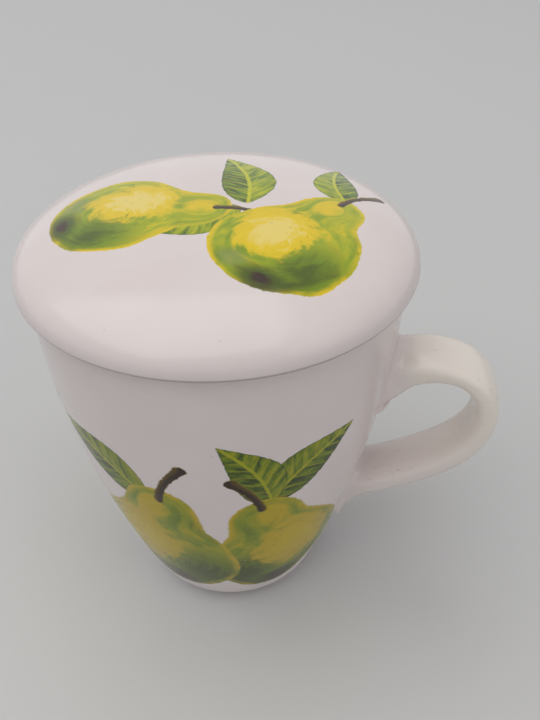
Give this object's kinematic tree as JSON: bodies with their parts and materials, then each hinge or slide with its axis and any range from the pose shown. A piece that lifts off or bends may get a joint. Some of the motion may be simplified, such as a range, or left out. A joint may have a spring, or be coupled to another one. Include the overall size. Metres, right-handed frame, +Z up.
{
  "type": "lidded tea mug with infuser",
  "caption": "Tapered ceramic tea mug with a strap handle, a drop-in perforated steel infuser and a domed lift-off lid.",
  "frame": {"origin": "on the mug's axis at the plane of its foot ring", "axes": "+Z up along the mug's axis, +X towards the handle"},
  "size_m": [0.1174, 0.094, 0.1133],
  "materials": {
    "glazed_mug": "white gloss glaze with a painted fruit and leaf decoration, bare clay on the foot ring",
    "glazed_lid": "white gloss glaze with a painted fruit and leaf decoration",
    "infuser_steel": "brushed and pressed stainless steel"
  },
  "bodies": {
    "mug": {"mug_body": "glazed_mug", "mug_handle": "glazed_mug"},
    "infuser": {"infuser_rim": "infuser_steel", "infuser_wall": "infuser_steel", "infuser_base_ring": "infuser_steel", "infuser_floor": "infuser_steel"},
    "lid": {"lid": "glazed_lid"}
  },
  "joints": [
    {"name": "infuser_lift", "type": "slide", "parent": "mug", "child": "infuser", "axis": [0, 0, 1], "range_m": [0, 0.08]},
    {"name": "lid_lift", "type": "slide", "parent": "infuser", "child": "lid", "axis": [0, 0, 1], "range_m": [0, 0.06]}
  ]
}
